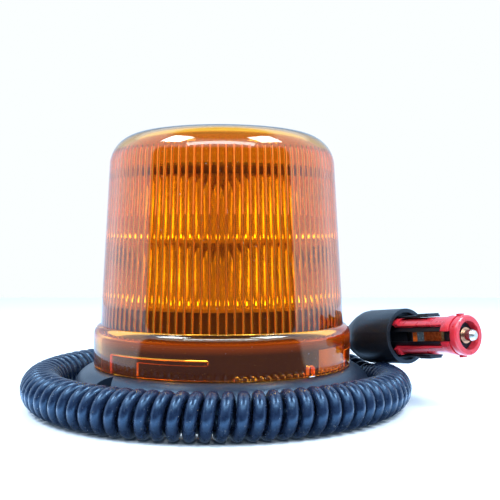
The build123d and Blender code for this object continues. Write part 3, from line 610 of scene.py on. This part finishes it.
def wall_point(share):
    """(radius, height) on the wall's outside, at a share of the way from its foot to its top."""
    return WALL_LOW_R + (WALL_TOP_R - WALL_LOW_R) * share, WALL_LOW + (WALL_TOP - WALL_LOW) * share


def collar_fillet(steps=12):
    """The rounded step from the wall down to the collar."""
    height = WALL_LOW - COLLAR_TOP
    width = COLLAR_R - WALL_LOW_R
    points = []
    for i in range(1, steps + 1):
        a = pi / 2 * (1 - i / steps)
        points.append((COLLAR_R - width * (1 - cos(a)), COLLAR_TOP + height * sin(a)))
    return points


def outside_rows():
    """Rings of (radius, height) from near the apex down to the collar's lower edge."""
    rows = dome_profile(inset=0, shoulder_steps=22)
    rows += [wall_point(share) for share in (0.66, 0.33, 0)]
    rows += collar_fillet()
    rows += [(COLLAR_R, COLLAR_LOW + COLLAR_CHAMFER), (COLLAR_R - COLLAR_CHAMFER, COLLAR_LOW)]
    return rows


def rounded_box(x, z, x_span, z_span, corner):
    """Signed distance to a box with rounded corners, negative inside."""
    dx = np.abs(x - sum(x_span) / 2) - (x_span[1] - x_span[0]) / 2 + corner
    dz = np.abs(z - sum(z_span) / 2) - (z_span[1] - z_span[0]) / 2 + corner
    outside = np.sqrt(np.maximum(dx, 0) ** 2 + np.maximum(dz, 0) ** 2)
    return outside + np.minimum(np.maximum(dx, dz), 0) - corner


def arc_length(angles, start):
    """Distance round the bore from the angle start, in millimetres, from -half to +half a turn."""
    turn = (angles - radians(start) + pi) % (2 * pi) - pi
    return turn * BORE_R


def sunk(distance, depth, bevel=CUT_BEVEL):
    """How deep a cut is at a signed distance from its outline, with a bevelled edge."""
    return depth * np.clip(-distance / bevel, 0, 1)


def collar_cut_depth(angles, z):
    """How deep the bayonet grooves, the catch notch and the ratchet scallops cut into the collar's bore."""
    depth = np.zeros(COLUMNS)
    start, end, entry = (radians(a) * BORE_R for a in (GROOVE_START, GROOVE_END, GROOVE_ENTRY_END))
    for turn in GROOVE_TURNS:
        x = arc_length(angles, FRONT + turn)
        channel = rounded_box(x, z, (start, end), (GROOVE_LOW, GROOVE_HIGH), GROOVE_CORNER)
        mouth = rounded_box(x, z, (start, entry), (CUT_LOW, GROOVE_HIGH), GROOVE_CORNER)
        depth = np.maximum(depth, sunk(np.minimum(channel, mouth), GROOVE_DEPTH))
    x = arc_length(angles, FRONT)
    notch_span = (radians(NOTCH_START) * BORE_R, radians(NOTCH_END) * BORE_R)
    notch = rounded_box(x, z, notch_span, (CUT_LOW, NOTCH_HIGH), NOTCH_CORNER)
    depth = np.maximum(depth, sunk(notch, NOTCH_DEPTH))
    for angle in SCALLOP_ANGLES:
        away = np.sqrt((x - radians(angle) * BORE_R) ** 2 + (z - COLLAR_LOW - SCALLOP_RISE) ** 2)
        depth = np.maximum(depth, sunk(away - SCALLOP_R, SCALLOP_DEPTH, SCALLOP_BEVEL))
    return depth


def collar_bore_rows(angles, steps=54):
    """Rings up the collar's bore, with its cuts, and over the ledge to the wall's inside."""
    rows = [(BORE_R + EASED_EDGE + collar_cut_depth(angles, COLLAR_LOW), COLLAR_LOW)]
    for i in range(1, steps + 1):
        z = COLLAR_LOW + (LEDGE - COLLAR_LOW) * i / steps
        rows.append((BORE_R + collar_cut_depth(angles, z), z))
    inner = WALL_LOW_R - LENS_WALL
    rows.append((np.full(COLUMNS, inner + EASED_EDGE), LEDGE))
    rows.append((np.full(COLUMNS, inner), LEDGE + EASED_EDGE))
    rows.append((np.full(COLUMNS, inner), FLUTE_FOOT))
    return rows


def flute_rows(angles):
    """The inside wall with its convex flutes, which run out into the shoulder as pointed arches."""
    across = (angles * FLUTES / (2 * pi)) % 1.0 * 2 - 1
    bulge = FLUTE_DEPTH * (1 - across**2) ** 0.75
    slope = (WALL_TOP_R - WALL_LOW_R) / (WALL_TOP - WALL_LOW)
    low_r = WALL_LOW_R - LENS_WALL
    profile = [(low_r + slope * (z - WALL_LOW), z) for z in np.linspace(FLUTE_START, WALL_TOP, 8)]
    profile += reversed(dome_profile(inset=LENS_WALL, shoulder_steps=34)[:-1])
    rows = []
    for r, z in profile:
        limit = low_r + slope * (z - WALL_LOW) - bulge
        rows.append((np.minimum(r, limit), z))
    return rows


def mark_painted_glow_edges(mesh):
    """Gives the steep faces of the collar's cuts and the creases between flutes the materials with painted glow.
    """
    mesh.materials.append(amber_edge_painted_glow("amber_edge_painted_glow", 0.42))
    mesh.materials.append(amber_edge_painted_glow("amber_crease_painted_glow", 0.07))
    per_flute = COLUMNS // FLUTES
    for polygon in mesh.polygons:
        centre = polygon.center / MM
        radius = sqrt(centre.x**2 + centre.y**2)
        steep = any(low < radius - BORE_R < high for low, high in CUT_SIDE_DEPTHS)
        if steep and CUT_SIDE_LOW < centre.z < CUT_SIDE_HIGH:
            polygon.material_index = 1
        on_flutes = WALL_LOW < centre.z < CREASE_HIGH and radius < WALL_LOW_R - LENS_WALL
        if on_flutes and polygon.index % per_flute in (0, per_flute - 1):
            polygon.material_index = 2


def make_lens():
    """The lens as one closed shell: rings from the apex down the outside and up the inside."""
    angles = np.arange(COLUMNS) * 2 * pi / COLUMNS
    rows = [(np.full(COLUMNS, r), z) for r, z in outside_rows()]
    rows += collar_bore_rows(angles) + flute_rows(angles)
    verts = []
    for radius, z in rows:
        verts += zip(radius * np.cos(angles), radius * np.sin(angles), np.full(COLUMNS, z))
    faces = ring_faces(len(rows), COLUMNS)
    top = len(verts)
    under = top + 1
    verts += [(0, 0, LENS_TOP), (0, 0, LENS_TOP - LENS_WALL)]
    last = (len(rows) - 1) * COLUMNS
    for j in range(COLUMNS):
        k = (j + 1) % COLUMNS
        faces.append((top, k, j))
        faces.append((under, last + j, last + k))
    lens = finish_mesh("lens_shell", verts, faces, "lens", MATERIALS["amber_lens"], sharp=28.0)
    mark_painted_glow_edges(lens.data)
    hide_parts("lens")


# ---------------------------------------------------------------- cord


def cord_along(name, points, body):
    """The round cord along points, with low cone ends, built on frames that don't twist."""
    final = len(points) - 1
    ways = [(points[min(i + 1, final)] - points[max(i - 1, 0)]).normalized() for i in range(len(points))]
    across = ways[0].orthogonal().normalized()
    verts = []
    for point, way in zip(points, ways):
        across = (across - way * across.dot(way)).normalized()
        other = way.cross(across)
        for j in range(CORD_SIDES):
            a = 2 * pi * j / CORD_SIDES
            verts.append(point + (across * cos(a) + other * sin(a)) * CORD_R)
    faces = ring_faces(len(points), CORD_SIDES)
    for ring, end, way in ((0, points[0], -ways[0]), (final, points[-1], ways[-1])):
        tip = len(verts)
        verts.append(end + way * CORD_R * CAP_RISE)
        base = ring * CORD_SIDES
        faces += [(base + j, base + (j + 1) % CORD_SIDES, tip) for j in range(CORD_SIDES)]
    return finish_mesh(name, verts, faces, body, MATERIALS["black_cord"], sharp=50.0)


def bezier(points, steps):
    """Points of a cubic curve through four control points."""
    a, b, c, d = (Vector(p) for p in points)
    curve = []
    for i in range(steps + 1):
        t = i / steps
        s = 1 - t
        curve.append(a * s**3 + b * 3 * s * s * t + c * 3 * s * t * t + d * t**3)
    return curve


def coil_point(turn, shift=0.0):
    """The cord's centre after a number of turns, shifted along the ring by a part of a turn."""
    azimuth = COIL_START + 360.0 * (turn + shift) / TURNS_PER_CIRCLE
    away = azimuth % 360.0
    if away >= 180:
        away -= 360.0
    tight = max(0.0, cos(radians((away - PLUG_AZIMUTH) * 1.2))) ** 2
    pressed = cos(pi / 2 * min(abs(away - PRESSED_AZIMUTH) / PRESSED_SPAN, 1.0)) ** 2
    winding = COIL_R_FRONT + (COIL_R_PLUG - COIL_R_FRONT) * tight - PRESSED_DEPTH * pressed
    wind = 2 * pi * (turn - 0.25)
    radius = COIL_RING_R + winding * cos(wind)
    x = COIL_CENTRE[0] + radius * cos(radians(azimuth))
    y = COIL_CENTRE[1] + radius * sin(radians(azimuth))
    return Vector((x, y, CORD_R + FLOOR_GAP + winding * (1 + sin(wind))))


def turn_shifts():
    """A function that gives each turn a small random shift, smooth from one turn to the next."""
    count = int(COIL_TURNS) + 3
    shifts = [random.uniform(-LARGEST_SHIFT, LARGEST_SHIFT) for _ in range(count)]
    shifts[0] = shifts[-2] = shifts[-1] = 0.0

    def at(turn):
        i = int(turn)
        t = turn - i
        t = t * t * (3 - 2 * t)
        return shifts[i] * (1 - t) + shifts[i + 1] * t

    return at


def make_cord():
    """The root lead out of the grommet and the coil after it. Gives back the coil's end."""
    shift = turn_shifts()
    steps = int(COIL_TURNS * STEPS_PER_TURN)
    turns = [COIL_TURNS * i / steps for i in range(steps + 1)]
    coil = [coil_point(t, shift(t) if t < COIL_TURNS - SHIFTLESS_END else 0.0) for t in turns]
    grommet = box_centre("cable_grommet")
    outward = Vector((grommet.x, grommet.y, 0)).normalized()
    wall = grommet + outward * GROMMET_REACH
    way = (coil_point(1e-3) - coil_point(0)).normalized()
    root = [grommet - outward * depth for depth in ROOT_INSIDE]
    root += bezier([wall, wall + outward * ROOT_SLACK, coil[0] - way * ROOT_SLACK, coil[0]], steps=14)
    cord = cord_along("cord_coil", root[:-1] + coil, "base")
    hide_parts("coiled_cord")
    return coil[-1]


def make_lead(start):
    """The lead that rises from the coil's end and bends over into the plug's tail, which it follows."""
    tail = PLUG_RIM + HEADING * TAIL_AT
    arriving = tail - HEADING * LEAD_APPROACH + LEAD_LIFT
    curve = [start + LEAD_DIP] + bezier([start, start + LEAD_RISE, arriving, tail], steps=40)
    curve += [tail + HEADING * depth for depth in LEAD_IN_TAIL]
    lead = cord_along("cord_lead", curve, None)
    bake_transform(lead)
    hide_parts("plug_lead")


# ---------------------------------------------------------------- stage


def make_floor():
    """A wide sheet of white paper that ends behind the beacon."""
    wide, front, back = 4.0, -1.2, 0.9
    corners = [(-wide, front, 0), (wide, front, 0), (wide, back, 0), (-wide, back, 0)]
    mesh = bpy.data.meshes.new("floor")
    mesh.from_pydata(corners, [], [(0, 1, 2, 3)])
    floor = bpy.data.objects.new("floor", mesh)
    bpy.context.scene.collection.objects.link(floor)
    mesh.materials.append(paper_with_painted_sheen())


def make_world():
    """A light tent: bright walls and slopes, a dim opening on the camera's side and a dim hole overhead.
    The camera itself sees a plain white backdrop."""
    world = bpy.data.worlds.new("tent")
    bpy.context.scene.world = world
    g = Graph(world, "Generated")
    # The compass direction counts from -1 on the camera's side to 1 behind the beacon.
    side, depth, up = g.axes(g.place)
    level = g.add("ShaderNodeCombineXYZ", _0=side, _1=depth, _2=0.0).outputs[0]
    behind = g.axes(g.vector_math("NORMALIZE", level).outputs[0])[1]
    walls = g.math("MULTIPLY", g.spread(behind, -0.33, -0.28), g.spread(behind, 0.60, 0.80, 1.0, 0.5))
    slopes = g.spread(up, 0.50, 0.60)
    through = g.ray("Is Transmission Ray")
    opening = g.spread(through, 0.0, 1.0, 0.06, 0.28)
    power = g.spread(g.math("MAXIMUM", walls, slopes), 0.0, 1.0, opening, 2.3)
    zenith = g.math("MAXIMUM", g.spread(up, 0.84, 0.90, 1.0, 0.10), through)
    power = g.math("MULTIPLY", power, zenith)
    tent = g.add("ShaderNodeBackground", Color=(0.55, 0.75, 1.0, 1.0), Strength=power).outputs[0]
    backdrop = g.add("ShaderNodeBackground", Color=(0.965, 1.0, 1.0, 1.0), Strength=1.0).outputs[0]
    g.add("ShaderNodeOutputWorld", Surface=g.mix_shaders(g.ray("Is Camera Ray"), tent, backdrop))


def make_lamp(name, place, width, depth, radiance):
    """A soft box. Its power follows from its size, so that its reflection has the given brightness."""
    data = bpy.data.lights.new(name, "AREA")
    data.shape = "RECTANGLE"
    data.size = width
    data.size_y = depth
    data.energy = radiance * pi * width * depth
    data.color = LAMP_COLOUR
    lamp = bpy.data.objects.new(name, data)
    bpy.context.scene.collection.objects.link(lamp)
    lamp.location = place
    lamp.rotation_euler = (Vector(LAMP_AIM) - Vector(place)).to_track_quat("-Z", "Y").to_euler()


def make_camera():
    """A level camera that looks along +Y."""
    data = bpy.data.cameras.new("camera")
    data.lens = FOCAL_LENGTH
    data.sensor_width = SENSOR_WIDTH
    data.clip_start = 0.01
    camera = bpy.data.objects.new("camera", data)
    bpy.context.scene.collection.objects.link(camera)
    camera.location = CAMERA_PLACE
    camera.rotation_euler = (radians(90), 0, 0)
    bpy.context.scene.camera = camera


dress_cad_nodes()
make_lens()
coil_end = make_cord()
make_lead(coil_end)
make_floor()
make_world()
for lamp_name, lamp_values in LAMPS.items():
    make_lamp(lamp_name, **lamp_values)
make_camera()
bpy.context.scene.view_settings.view_transform = "Standard"
